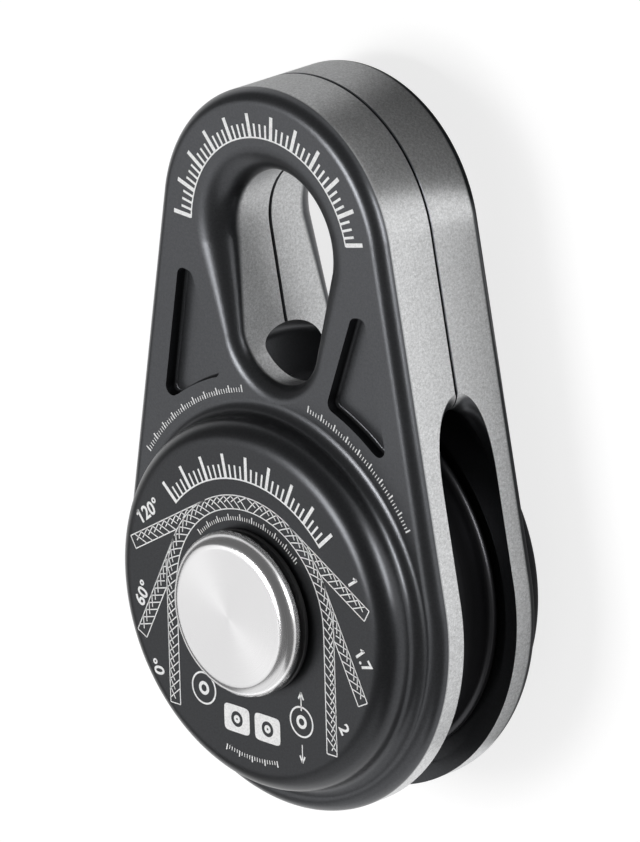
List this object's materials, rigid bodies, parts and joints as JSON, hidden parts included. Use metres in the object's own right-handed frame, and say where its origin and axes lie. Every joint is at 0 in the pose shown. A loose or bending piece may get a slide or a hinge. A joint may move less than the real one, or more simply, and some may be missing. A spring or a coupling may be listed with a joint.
{
  "type": "snatch block",
  "caption": "Snatch block with swinging aluminium side plates, a grooved rope sheave on a headed centre pin, and a flared eye for a shackle.",
  "frame": {"origin": "centre of the block's box in X and Y, on the floor under the rear boss", "axes": "+Z along the pin out of the front plate, +Y from the pin towards the eye, X across the block"},
  "size_m": [0.114, 0.1918, 0.0658],
  "materials": {
    "side_plate": "bead-blasted, grey anodised",
    "sheave": "turned, dark anodised",
    "bushing": "oiled bronze",
    "pin": "faced and polished stainless",
    "head_washer": "black nylon",
    "thrust_washer": "white acetal",
    "ring_washer": "zinc plated",
    "retaining_ring": "oiled spring steel"
  },
  "bodies": {
    "rear_half": {"rear_side_plate": "side_plate", "centre_pin": "pin", "rear_thrust_washer": "thrust_washer", "ring_washer": "ring_washer", "retaining_ring": "retaining_ring"},
    "front_half": {"front_side_plate": "side_plate", "front_thrust_washer": "thrust_washer", "head_washer": "head_washer"},
    "sheave_assembly": {"sheave": "sheave", "sheave_bushing": "bushing"}
  },
  "joints": [
    {"name": "plate_swing", "type": "hinge", "parent": "rear_half", "child": "front_half", "pos_m": [0, -0.03895, 0.029], "axis": [0, 0, 1], "continuous": true},
    {"name": "sheave_spin", "type": "hinge", "parent": "rear_half", "child": "sheave_assembly", "pos_m": [0, -0.03895, 0.029], "axis": [0, 0, 1], "continuous": true}
  ]
}
